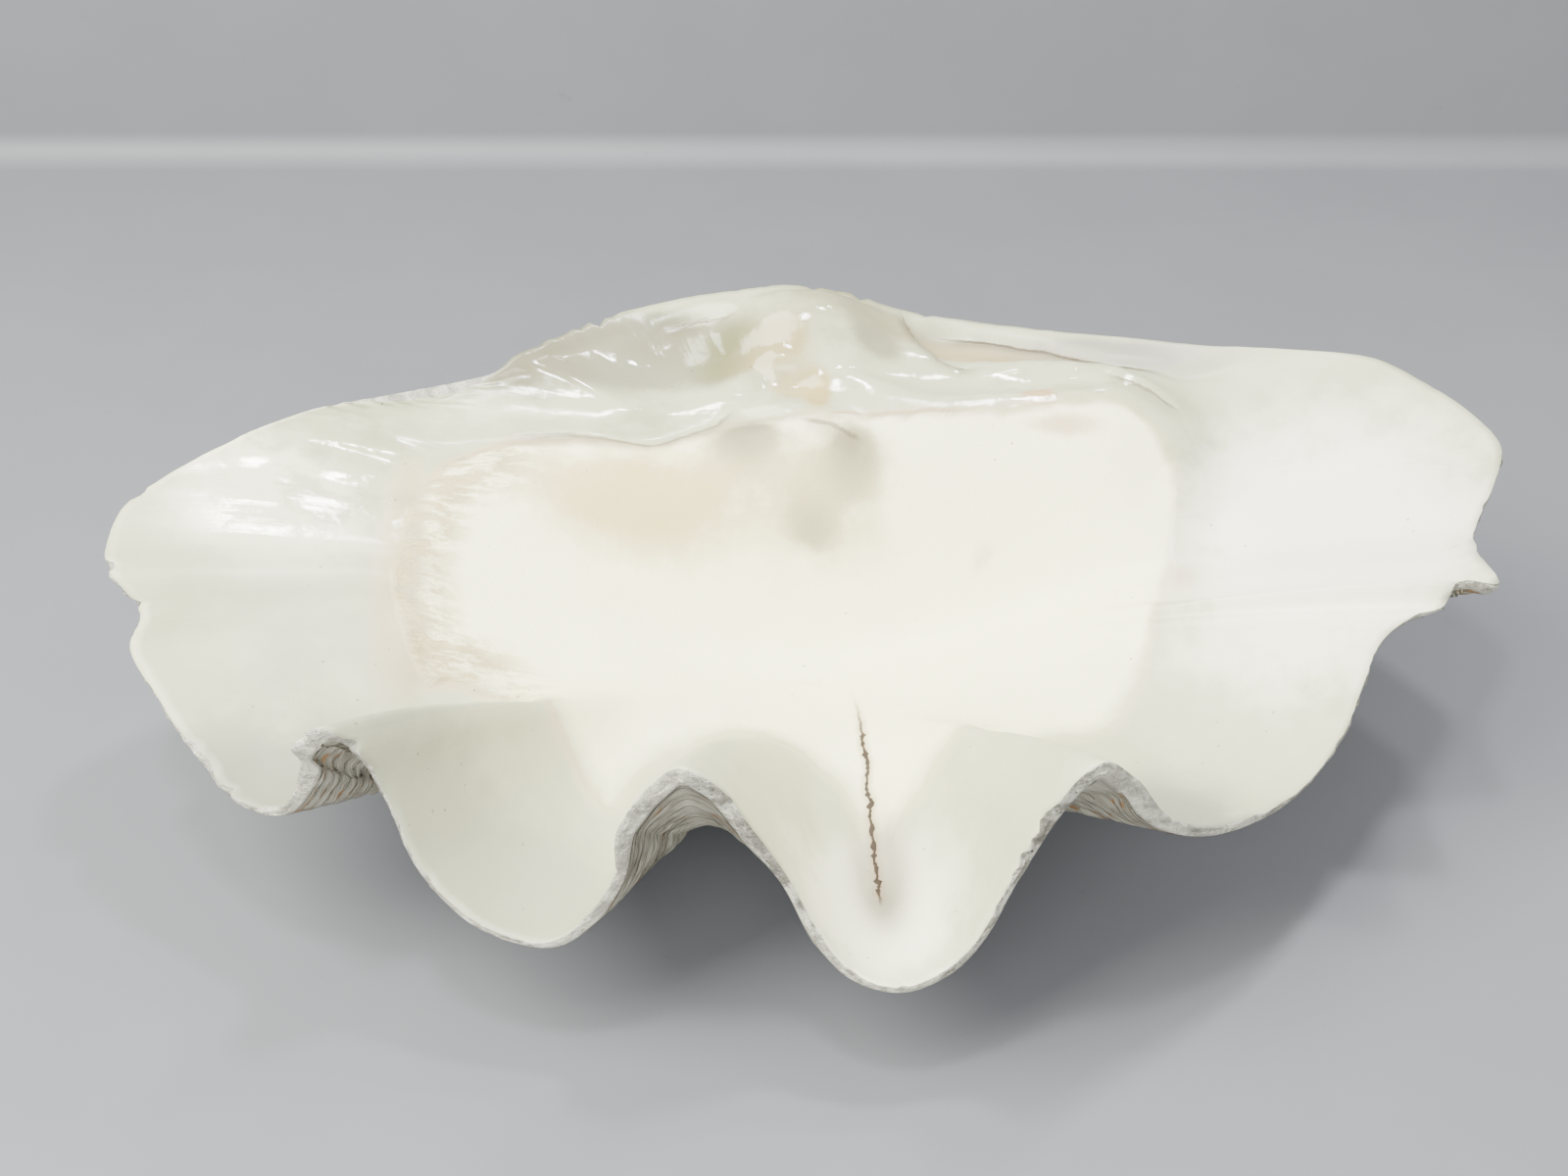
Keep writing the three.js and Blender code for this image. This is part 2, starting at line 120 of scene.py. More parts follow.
valveShape = {
    # mm and radians, drawn with the beak near (-5, 107, 98), then moved by frameShift
    "frameShift": (-7.0, 5.9895, 2.0),
    "lipThickness": (3.0, 5.6),  # in the hollows of the lip and on its crests
    "crestHeights": (55.0, 85.0),  # z over which the one turns to the other
    "thinEnds": (150.0, 190.0),  # x from which the ends thin out again
    "edgeSetIn": 0.7,
    "deepThickness": 12.0,  # of the old wall, past thickFromAngle of growth
    "thickFromAngle": 0.5,
    "freeOfBeak": (20.0, 70.0),  # nearer the beak than this the wall isn't thickened
    "bowlBottom": (6.0, 5.0, 28.0),
    "bowlCurve": 1.5,  # 1 is a cone, 2 is round
    "hingeSideWidth": 52.0,  # degrees either way of straight back
    "foldShares": ((0.35, 1), (0.3, 0.95)),  # from the middle to the lip: in front, then by the hinge
    "foldLean": (-8.0, 90.0),
    "hingeEdgeMiddle": 60.0,
    "hingeEdgeSlant": 0.045,
    "hingeWallWidth": 44.0,
    "leastPlateWidth": 20.0,
    "hingeWallSpan": (-155.0, -95.0, 100.0, 160.0),
    "hingePlateHeights": (87.0, 97.0),
    "plateRise": (-50.0, 0.0),  # x over which the one turns to the other
    "beak": (-5.0, 107.0, 98.0),
    "hingeReach": (12.0, 75.0),
    "hingeBulge": 15.0,
    "bulgeWay": (0.0, 0.87, -0.5),
    "wornFlatHeight": -2.0,
    "foldSmoothing": 75.0,
    "edgeSmoothing": 6.0,
    "growthRate": 0.74,
    "growthQuickening": 0.12,
    "lastGrowthAngle": math.radians(118),
    "closingPower": 5.0,
    "oldFoldShare": 0.45,
    "oldFoldAngle": 0.16,
    # how finely it is drawn
    "segmentsPerStation": 8,
    "insideRings": 55,
    "rimRings": 5,
    "outsideRings": 115,
    "outsideEvenness": 0.123,  # share of the outside rings' spacing that stays even
    "insideSpread": 0.9,
    # the lip, from the beak round by the left end, the front folds and the right end
    "lip": [
        (-5, 103, 122), (-21, 103, 120), (-38, 106, 116), (-58, 100, 114), (-78, 87, 112), (-100, 72, 109),
        (-126, 62, 107), (-149, 53, 105), (-173, 40, 102), (-192, 22, 99), (-204, 6, 96),
        (-206, -8, 92), (-201, -23, 92), (-192, -30, 82), (-193, -40, 77),
        (-183, -53, 69), (-173, -65, 62), (-157, -78, 52.5), (-143, -86, 57), (-136, -90, 69), (-133, -92, 78),
        (-133.5, -96, 86),
        (-124, -101, 97), (-117, -99, 90), (-110, -97, 70), (-102, -105, 52), (-87, -114, 41),
        (-68, -118, 38), (-57.5, -118, 46), (-49.5, -117.5, 60), (-47.5, -118, 78), (-39, -120, 93),
        (-31, -121, 100), (-22, -120, 94), (-13, -119, 79), (-3, -119, 60), (5, -124, 45), (14, -129, 37),
        (26, -131, 34.5), (38, -128, 38), (46, -125, 47), (54, -121, 65), (63, -119, 86),
        (74, -118, 100), (84, -114, 91), (94, -108, 74), (106, -102, 64), (121, -92, 58), (139, -76, 55),
        (154, -59, 60), (163, -43, 67), (168, -36, 76), (176, -35, 85), (184, -35, 88.5), (186, -34, 95),
        (189, -34.5, 97), (199, -32.5, 94.5), (200, -15, 92), (204, 3, 89), (213, 19, 94), (220, 36, 99),
        (215, 50, 102),
        (203, 70, 104), (190, 86, 104), (167, 95, 102), (142, 100, 101), (115, 105, 101), (86, 109, 102),
        (60, 110, 105), (38, 107, 110), (15, 104, 119),
    ],
    # lines and humps of the hinge, seen from above: x, y in mm; then height and width, or reach and height
    "ridges": [
        ([(8, 61), (30, 63), (53, 64), (78, 66), (104, 69), (119, 64), (127, 52), (126, 40)], 4.5, 5.5),
        ([(41, 87), (79, 85), (105, 79), (122, 72), (132, 62)], 5, 5.5),
        ([(-112, 60), (-95, 61), (-66, 60), (-40, 64), (-22, 70), (-12, 74)], 4, 6.5),
        ([(-47, 99), (-34, 102.5), (-20, 101)], 2.4, 3),
        ([(-47, 95.5), (-33, 97.5), (-20, 94)], -1.4, 1.8),
        ([(40, 101), (66, 102.5), (84, 100.4), (105, 92), (129, 90), (147, 94)], -2.6, 2.6),  # ligament groove
        ([(-14, 78), (-6, 75.5), (5, 73)], 1.8, 1.7),  # first tooth
        ([(6, 69), (18, 71), (34, 70)], 1.6, 3),
        ([(-22, 61), (-12, 62), (2, 60), (12, 57), (24, 52)], 1.6, 2.6),
        ([(-28, 93), (-24, 85), (-15, 77), (-9, 70)], -1.8, 3),
        ([(113, 60), (122, 50), (124, 36), (121, 20)], 1.2, 4),
    ],
    "mounds": [
        ((8, 88), (27, 13), 9),
        ((-62, 84), (34, 11), -4),
        ((-1, 69), (8, 4), -2),
        ((-5, 62), (9, 4), 1.6),
        ((24, 68), (15, 5), 2.2),
        ((72, 93), (30, 6), -1.6),
        ((74, 73), (8, 4), -0.8),
    ],
    # one side stands higher than the other: line, height, how sharp, how far the height reaches
    "steps": [
        ([(62, 83), (54, 83), (47, 85), (43, 90), (38, 98), (33, 107)], 3.6, 1, 15),
        ([(100, 76.5), (109, 73), (118, 70), (126, 66)], 2.2, 1.4, 8),
        ([(-100, 56), (-76, 57), (-48, 54), (-27, 59), (-20, 63)], -1.5, 2, 9),
    ],
    # pallial line, x and y in mm: what it holds stands a little higher and is chalkier
    "pallialLine": [
        (-115, -22), (-126.5, 4), (-127, 18), (-120, 40), (-103, 53), (-76, 55), (-48, 52), (-27, 57), (-8, 57),
        (9, 56), (27, 58), (51, 59.5), (78, 60.5), (100, 66), (113, 60), (122, 48), (120, 30), (112, 6), (104, -16),
        (92, -36), (72, -36), (50, -48), (35, -60), (24, -72), (20, -63), (10, -42), (-8, -34), (-23, -24),
        (-38, -33), (-49, -45), (-57, -60), (-64, -49), (-73, -39), (-86, -26), (-98, -19), (-107, -18),
    ],
    # creases darkened with painted shade: line in plan, width, strength
    "creases": [
        ([(33, 107), (38, 98), (43, 90), (47, 85), (54, 83), (62, 83)], 1, 1),
        ([(40, 101), (66, 102.5), (84, 100.4), (105, 92), (129, 90)], 0.9, 1),
        ([(100, 76.5), (109, 73), (118, 70), (126, 66)], 0.7, 0.6),
        ([(0, 56), (10, 54), (21, 50)], 1, 0.75),
        ([(-101, 56), (-76, 57), (-48, 54), (-27, 59), (-20, 63)], 1.3, 0.6),
        ([(-46, 96), (-33, 98), (-20, 94)], 0.6, 0.55),
    ],
    # where the animal's polish is left: centre, reach, strength
    "polish": [
        ((-150, 38), (34, 20), 1.6), ((-172, 14), (20, 20), 0.7), ((-60, 74), (60, 25), 1), ((20, 84), (60, 24), 1),
        ((88, 72), (46, 16), 1), ((124, 46), (12, 22), 0.7),
    ],
    # where the edge is broken off thick and pitted: centre, reach, strength
    "brokenOff": [((-10, -112), (16, 26), 1), ((60, -114), (15, 26), 1), ((188, -30), (26, 20), 0.8)],
    "plainTint": "#efe9da",
    # soft stains, with painted shade and painted light among them, as marked below: centre, reach, colour, strength
    "stainsAndShading": [
        # painted light: pale patches on the third trough and the right lobe
        ((20, -100), (26, 34), "#f0eed6", 0.9), ((165, 15), (50, 58), "#f0eedd", 0.95),
        # painted shade: the floors of the second, first and fourth troughs, and the lower left lobe
        ((-80, -95), (42, 32), "#a6a791", 0.8), ((-142, -72), (38, 30), "#8e8f7e", 0.8),
        ((98, -88), (28, 34), "#86877a", 0.85), ((-150, -14), (36, 30), "#a9aa96", 0.45),
        ((-168, 22), (34, 24), "#eeecd2", 0.85), ((-60, 84), (44, 13), "#8f8e79", 0.9),
        ((-46, 92), (13, 9), "#6f6e58", 0.95), ((-96, 80), (28, 13), "#6c6a55", 0.95),
        ((98, 97), (52, 8), "#8f8f84", 0.9), ((-52, 40), (42, 13), "#cdbd84", 0.85),
        ((10, 42), (26, 12), "#c6be90", 0.6), ((-17, 52), (11, 6), "#6b6c58", 0.9),
        ((17, 48), (8, 6), "#6f6e5a", 0.85), ((4, 36), (7, 3), "#8b8976", 0.7),
        ((59, 33), (5, 4), "#c5c09c", 0.4), ((-9, 80), (13, 6), "#a8986a", 0.95),
        ((16, 97), (26, 10), "#9a9976", 0.85), ((26, 84), (9, 5), "#8c8c74", 0.8),
        ((6, 66), (4.5, 6.5), "#ae9a62", 1), ((-2, 69), (8, 4), "#b0a379", 0.9),
        ((66, 94), (26, 6), "#b69f6c", 0.85), ((78, 66), (7, 4), "#b99c74", 0.8),
        ((122, 20), (5, 9), "#9c8058", 0.5), ((-125, 16), (5, 30), "#a1925f", 0.9),
        ((-118, -14), (5, 12), "#a1925f", 0.7), ((86, 56), (16, 3), "#cbb890", 0.3),
        # a brown smudge round the crack, with painted shade where its hollow is deepest
        ((22, -82), (8, 17), "#6d6454", 1), ((23, -91), (4.5, 9), "#2b241c", 1),
        ((-124, 14), (7, 30), "#d8c8ac", 0.6), ((86, 56), (14, 4), "#d4bd9c", 0.5),
        ((-25, 83), (9, 8), "#5a5e30", 1),
    ],
    # growth ledges: how many rings each takes from the edge inward, then the same again and again
    "ledgeRings": (5, 6, 5, 8, 6, 5, 7, 8, 5, 6, 7, 5),
    "ledgeHeights": (1.3, 1.7, 1.4, 2.4, 1.6, 1.5, 2.0, 2.5, 1.4, 1.7, 2.2, 1.5),
    "ledgeWave": 10.0,
    "ledgesEnd": (38.0, 60.0),  # from the lip, over which they give way to the old growth
    "oldGrowthFrom": (30.0, 60.0),
    "oldGrowthSpacing": 9.0,  # between the coarse growth steps far from the lip
    "oldGrowthHeight": 1.3,
    "oldGrowthWave": 40.0,
    "chipDepth": 3.0,  # deepest bite out of the lip
    "chipSizes": (5.0, 26.0, 2.6),  # bites, groups of bites, and the finest nicks
    "nickDepth": 0.25,
    "chippedFront": (-20.0, 60.0),  # y behind which the bites are shallower
    "smoothRight": (120.0, 165.0),  # x past which they nearly stop
    "rimRoughness": 1.3,
    "rimBulge": 0.4,
    "rimGrain": 3.0,
    "pallialStep": 1.0,
    "pallialSoftness": 1.6,
    "pallialRagged": (1.5, 9.0),  # how far the line strays, and over what length
    "crumbleBand": (6.0, 7.0),  # streaks inside the pallial line, at the left: how far in and how wide
    "crumbleLeft": (60.0, 110.0),
    "crumbleHeight": 1.3,
    "crumbleSize": 5.0,
    "crumbleStretch": (0.7, 2.2, 0.7),
    "insideRipple": (0.5, 24.0),  # height and size
    "crackHollow": ([(17, -45), (21, -68), (24, -98)], 2.2, 5.5),  # line, depth, width
    "crackSwelling": (0.7, 1.7),  # share of that depth, and widths away
    "crenulation": (1.2, 7.5, 3.0, 18.0),  # teeth of the hinge margin: height, spacing, and how they wander
    "hingeMargin": ((0.8, 1.0), (50.0, 72.0), (40.0, 66.0)),  # share to the lip, -x and y over which they rise
    "lobeWaves": (0.5, 19.0, 9.0, 45.0),  # waves of the left lobe, as for the teeth
    "leftLobe": ((0.5, 0.85), (105.0, 140.0), (-25.0, 5.0)),
}


def smoothstep(value, low, high):
    t = np.clip((value - low) / (high - low), 0, 1)
    return t * t * (3 - 2 * t)


def lerp(a, b, t):
    return a + (b - a) * t


def unit(vectors):
    return vectors / np.maximum(np.linalg.norm(vectors, axis=-1, keepdims=True), 1e-12)


def drawLip(shape):
    # centripetal Catmull-Rom curve through the stations, closed
    stations = np.array(shape["lip"], float)
    count = len(stations)
    steps = shape["segmentsPerStation"]
    points = []
    for i in range(count):
        p0, p1, p2, p3 = (stations[(i + k - 1) % count] for k in range(4))
        d1, d2, d3 = (math.sqrt(np.linalg.norm(b - a)) for a, b in ((p0, p1), (p1, p2), (p2, p3)))
        t1 = ((p1 - p0) / d1 - (p2 - p0) / (d1 + d2) + (p2 - p1) / d2) * d2
        t2 = ((p2 - p1) / d2 - (p3 - p1) / (d2 + d3) + (p3 - p2) / d3) * d2
        for step in range(steps):
            t = step / steps
            c2 = -3 * p1 + 3 * p2 - 2 * t1 - t2
            c3 = 2 * p1 - 2 * p2 + t1 + t2
            points.append(p1 + t1 * t + c2 * t * t + c3 * t ** 3)
    return np.array(points)


def lipWeights(lip, reach):
    # how much each point of the lip counts in the average round another
    steps = np.linalg.norm(np.roll(lip, -1, 0) - lip, axis=1)
    position = np.concatenate([[0], np.cumsum(steps)])
    apart = np.abs(position[:-1, None] - position[None, :-1])
    along = np.minimum(apart, position[-1] - apart)
    stands = (steps + np.roll(steps, 1)) / 2
    weights = stands[None, :] * np.exp(-0.5 * (along / reach) ** 2)
    return weights / weights.sum(1, keepdims=True), position


def behindHingeEdge(shape, x, y):
    # mm behind the front edge of the hinge plate
    return y - shape["hingeEdgeMiddle"] - shape["hingeEdgeSlant"] * x


def hingeWall(shape, x, y):
    leftEnd, leftFull, rightFull, rightEnd = shape["hingeWallSpan"]
    alongHinge = smoothstep(x, leftEnd, leftFull) * (1 - smoothstep(x, rightFull, rightEnd))
    return smoothstep(behindHingeEdge(shape, x, y), -shape["hingeWallWidth"], 0) * alongHinge


def insidePoints(shape, lip, mean, share):
    # one ring of the hollow, share of the way from its bottom to the lip
    bx, by, bz = shape["bowlBottom"]
    fold = lip - mean
    bearing = np.degrees(np.arctan2(mean[:, 1] - by, mean[:, 0] - bx))
    hingeSide = smoothstep(np.exp(-((bearing - 90) / shape["hingeSideWidth"]) ** 2), 0.05, 0.85)
    front, back = (smoothstep(share, *span) for span in shape["foldShares"])
    foldShare = lerp(front, back, hingeSide)
    lean = share * (1 - share) * (1 - hingeSide)
    x = bx + share * (mean[:, 0] - bx) + foldShare * fold[:, 0] + lean * shape["foldLean"][0]
    y = by + share * (mean[:, 1] - by) + foldShare * fold[:, 1] + lean * shape["foldLean"][1]
    # the bowl is a height over the plan, so it stays smooth where the rings crowd
    plainX = x - foldShare * fold[:, 0] - bx
    plainY = y - foldShare * fold[:, 1] - by
    around = np.arctan2(plainY, plainX)
    meanAround = np.arctan2(mean[:, 1] - by, mean[:, 0] - bx)
    reach = np.hypot(mean[:, 0] - bx, mean[:, 1] - by)
    out = np.hypot(plainX, plainY) / np.interp(around, meanAround, reach, period=2 * np.pi)
    meanHeight = np.interp(around, meanAround, mean[:, 2], period=2 * np.pi)
    openBowl = bz + out ** shape["bowlCurve"] * (meanHeight - bz) + foldShare * fold[:, 2]
    plateWidth = np.maximum(behindHingeEdge(shape, lip[:, 0], lip[:, 1]), shape["leastPlateWidth"])
    acrossPlate = np.clip(behindHingeEdge(shape, x, y) / plateWidth, 0, 1)
    plateEdge = lerp(*shape["hingePlateHeights"], smoothstep(x, *shape["plateRise"]))
    hingePlate = lerp(plateEdge, lip[:, 2], acrossPlate)
    z = lerp(openBowl, hingePlate, hingeWall(shape, x, y))
    return np.stack([x, y, z], 1)


def toLine(x, y, line):
    # distance to a line of points in plan, how far along it that is, and the side: 1 left, -1 right
    nearest = np.full(x.shape, 1e9)
    along = np.zeros(x.shape)
    side = np.ones(x.shape)
    for i in range(len(line) - 1):
        (ax, ay), (bx, by) = line[i], line[i + 1]
        share = ((x - ax) * (bx - ax) + (y - ay) * (by - ay)) / ((bx - ax) ** 2 + (by - ay) ** 2)
        share = np.clip(share, 0, 1)
        distance = np.hypot(x - ax - share * (bx - ax), y - ay - share * (by - ay))
        closer = distance < nearest
        nearest = np.where(closer, distance, nearest)
        along = np.where(closer, (i + share) / (len(line) - 1), along)
        side = np.where(closer, np.sign((bx - ax) * (y - ay) - (by - ay) * (x - ax)), side)
    return nearest, along, side


def fadeEnds(along):
    return np.sin(np.pi * lerp(0.06, 0.96, along)) ** 0.6


def ridge(x, y, line, height, width):
    distance, along, _ = toLine(x, y, line)
    return height * np.exp(-(distance / width) ** 2) * fadeEnds(along)


def step(x, y, line, height, sharpness, reach):
    # lowers one side of the line
    distance, along, side = toLine(x, y, line)
    away = distance * side
    return -height * smoothstep(-away, -sharpness, sharpness) * np.exp(-(away / reach) ** 2) * fadeEnds(along)


def mound(x, y, centre, reach, height):
    return height * np.exp(-((x - centre[0]) / reach[0]) ** 2 - ((y - centre[1]) / reach[1]) ** 2)


def hingeRelief(shape, x, y, share):
    height = sum(ridge(x, y, *each) for each in shape["ridges"])
    height = height + sum(mound(x, y, *each) for each in shape["mounds"])
    height = height + sum(step(x, y, *each) for each in shape["steps"])
    return height * (1 - smoothstep(share, 0.93, 1))


def insideOf(x, y, outline):
    # signed distance in mm to a closed outline in plan, positive within
    closed = list(outline) + [outline[0]]
    distance, _, _ = toLine(x, y, closed)
    within = np.zeros(x.shape, bool)
    for (ax, ay), (bx, by) in zip(closed[:-1], closed[1:]):
        crosses = (ay > y) != (by > y)
        where = (bx - ax) * (y - ay) / ((by - ay) if by != ay else 1e-9) + ax
        within ^= crosses & (x < where)
    return np.where(within, distance, -distance)


def roundCorners(outline):
    # each corner cut off, and cut again
    for turn in range(2):
        cut = []
        for (ax, ay), (bx, by) in zip(outline, outline[1:] + outline[:1]):
            cut += [(0.75 * ax + 0.25 * bx, 0.75 * ay + 0.25 * by), (0.25 * ax + 0.75 * bx, 0.25 * ay + 0.75 * by)]
        outline = cut
    return outline


def facings(rings):
    # directions out of the wall, for a stack of rings
    along = np.roll(rings, -1, 1) - np.roll(rings, 1, 1)
    across = np.empty_like(rings)
    across[1:-1] = rings[2:] - rings[:-2]
    across[0] = rings[1] - rings[0]
    across[-1] = rings[-1] - rings[-2]
    return unit(np.cross(along, across))


def drawOuterEdge(shape, lip, mean):
    # outer corner of the broken edge, set in a little below the inner corner
    rings = np.array([insidePoints(shape, lip, mean, share) for share in (0.95, 0.975, 1.0)])
    weights, _ = lipWeights(lip, shape["edgeSmoothing"])
    out = unit(weights @ facings(rings)[2])
    setIn = unit(weights @ (rings[1] - lip))
    return lip + edgeThickness(shape, lip)[:, None] * unit(out + shape["edgeSetIn"] * setIn)


def edgeThickness(shape, lip):
    # the broken edge is thick on the front crests and by the hinge, thin in the hollows and at the ends
    crest = smoothstep(lip[:, 2], *shape["crestHeights"]) * (1 - smoothstep(np.abs(lip[:, 0]), *shape["thinEnds"]))
    return lerp(*shape["lipThickness"], crest)


def drawOutside(shape, lip, mean, angles):
    # the lip as it was at each age: smaller, less folded and turned back about the beak
    edge = drawOuterEdge(shape, lip, mean)
    weights, _ = lipWeights(edge, shape["foldSmoothing"])
    edgeMean = weights @ edge
    beak = np.array(shape["beak"])
    reach = np.hypot(edgeMean[:, 1] - beak[1], edgeMean[:, 2] - beak[2])
    turning = smoothstep(reach, *shape["hingeReach"])
    rings = []
    for angle in angles:
        closing = 1 - (angle / shape["lastGrowthAngle"]) ** shape["closingPower"]
        size = math.exp(-shape["growthRate"] * angle - shape["growthQuickening"] * angle ** 2) * closing
        foldShare = lerp(shape["oldFoldShare"], 1, math.exp(-angle / shape["oldFoldAngle"]))
        arm = lerp(edgeMean, edge, foldShare) - beak
        turn = angle * turning
        turned = np.stack([arm[:, 0], arm[:, 1] * np.cos(turn) - arm[:, 2] * np.sin(turn),
                           arm[:, 1] * np.sin(turn) + arm[:, 2] * np.cos(turn)], 1)
        bulge = shape["hingeBulge"] * 4 * size * (1 - size) * (1 - turning)
        rings.append(turned * size + beak + np.outer(bulge, shape["bulgeWay"]))
    return np.array(rings)


def thickenWall(shape, outside, inside, angles, edge):
    # moves the outside off the hollow where the wall is thinner than it should be
    points = inside.reshape(-1, 3)
    directions = facings(inside).reshape(-1, 3)
    tree = kdtree.KDTree(len(points))
    for i, point in enumerate(points):
        tree.insert(point, i)
    tree.balance()
    beak = np.array(shape["beak"])
    for j in range(1, len(outside)):
        deep = min(angles[j] / shape["thickFromAngle"], 1)
        ring = outside[j]
        least = lerp(edge, shape["deepThickness"], deep)
        free = smoothstep(np.linalg.norm(ring - beak, axis=1), *shape["freeOfBeak"])
        for turn in range(3):
            nearest = np.array([tree.find(point)[1] for point in ring])
            facing = directions[nearest]
            wall = ((ring - points[nearest]) * facing).sum(1)
            ring += facing * (np.maximum(least - wall, 0) * free)[:, None]


def wander(points, size, seed, octaves=3):
    # soft noise at points in mm, about -1 to 1, the same each time for a seed
    offset = Vector((seed * 17.3, seed * 5.1, seed * 9.7))
    flat = points.reshape(-1, 3).tolist()
    values = [noise.fractal(Vector(p) / size + offset, 1.0, 2.0, octaves) for p in flat]
    return np.array(values).reshape(points.shape[:-1])


def chipLip(shape, lip, mean):
    # small bites out of the edge, deeper on the front folds
    biteSize, groupSize, nickSize = shape["chipSizes"]
    inward = unit(insidePoints(shape, lip, mean, 0.97) - lip)
    bites = wander(lip, biteSize, 3, 3) + 0.6 * wander(lip, groupSize, 4, 2)
    behind = smoothstep(lip[:, 1], *shape["chippedFront"])
    right = smoothstep(lip[:, 0], *shape["smoothRight"])
    bite = smoothstep(bites, 0.12, 0.8) * lerp(1, 0.6, behind) * lerp(1, 0.3, right) * shape["chipDepth"]
    nicks = shape["nickDepth"] * np.abs(wander(lip, nickSize, 5, 2))
    return lip + inward * (bite + nicks)[:, None]


def addLedges(shape, outside):
    # each layer's free edge stands proud, and the surface falls away behind it
    ledge, along = [], []
    while len(ledge) < len(outside):
        number = ledge[-1] + 1 if ledge else 0
        width = shape["ledgeRings"][number % len(shape["ledgeRings"])]
        ledge += [number] * width
        along += [k / width for k in range(width)]
    ledge, along = np.array(ledge[:len(outside)]), np.array(along[:len(outside)])[:, None]
    heights = np.array(shape["ledgeHeights"])[ledge % len(shape["ledgeHeights"])][:, None]
    steps = np.linalg.norm(outside[1:] - outside[:-1], axis=2)
    depth = np.concatenate([np.zeros((1, outside.shape[1])), np.cumsum(steps, 0)])
    wave = wander(outside, shape["ledgeWave"], 1, 3)
    young = smoothstep(depth, 0.2, 1.5) * (1 - smoothstep(depth, *shape["ledgesEnd"]))
    height = heights * (1 - along) ** 0.7 * np.clip(0.85 + 0.8 * wave, 0.15, 1.6) * young
    # coarse steps of old growth
    count = depth / shape["oldGrowthSpacing"] + 0.8 * wander(outside, shape["oldGrowthWave"], 2, 2)
    old = (1 - (count - np.floor(count))) ** 1.5 * smoothstep(depth, *shape["oldGrowthFrom"])
    height = height + shape["oldGrowthHeight"] * old
    groove = np.clip(along * 1.3 + 0.5 * wave, 0, 1) * young
    return outside + facings(outside) * height[..., None], depth, groove


def reliefInside(shape, inside, shares, lip, position):
    # height of the pallial step, the crenulated margin and the ripple of the hollow, and the distance to the line
    x, y = inside[..., 0], inside[..., 1]
    stray, length = shape["pallialRagged"]
    pallial = insideOf(x + stray * wander(inside, length, 6, 3), y + stray * wander(inside, length, 7, 3),
                       roundCorners(shape["pallialLine"]))
    soft = shape["pallialSoftness"]
    height = shape["pallialStep"] * smoothstep(pallial, -soft, soft)
    inwards, width = shape["crumbleBand"]
    crumbly = np.exp(-((pallial - inwards) / width) ** 2) * smoothstep(-x, *shape["crumbleLeft"])
    streaks = wander(inside * np.array(shape["crumbleStretch"]), shape["crumbleSize"], 8, 3)
    height += shape["crumbleHeight"] * crumbly * streaks
    rippleHeight, rippleSize = shape["insideRipple"]
    height += rippleHeight * wander(inside, rippleSize, 9, 3)
    # the narrow hollow round the crack, with swollen sides
    line, sunk, width = shape["crackHollow"]
    away, along, _ = toLine(x, y, line)
    swelling, apart = shape["crackSwelling"]
    valley = np.exp(-(away / width) ** 2) - swelling * np.exp(-((away - apart * width) / width) ** 2)
    height -= sunk * valley * fadeEnds(along)
    # waves of the left lobe, and the small teeth of the hinge margin
    waveHeight, spacing, stray, length = shape["lobeWaves"]
    shareSpan, leftSpan, backSpan = shape["leftLobe"]
    leftLobe = smoothstep(shares, *shareSpan) * smoothstep(-x, *leftSpan) * smoothstep(y, *backSpan)
    alongLip = position + stray * wander(inside, length, 13, 2)
    waves = np.sin(alongLip * 2 * np.pi / spacing) * (0.5 + 0.9 * wander(inside, 30.0, 14, 2))
    height += waveHeight * waves * leftLobe
    toothHeight, spacing, stray, length = shape["crenulation"]
    shareSpan, leftSpan, backSpan = shape["hingeMargin"]
    margin = smoothstep(shares, *shareSpan) * smoothstep(-lip[:, 0], *leftSpan) * smoothstep(lip[:, 1], *backSpan)
    alongLip = position + stray * wander(inside, length, 10, 2)
    height += toothHeight * np.sin(alongLip * 2 * np.pi / spacing) * margin
    return height, pallial


def keepValues(mesh, name, values, kind="FLOAT", field="value"):
    mesh.attributes.new(name, kind, "POINT").data.foreach_set(field, values.astype(np.float32).ravel())


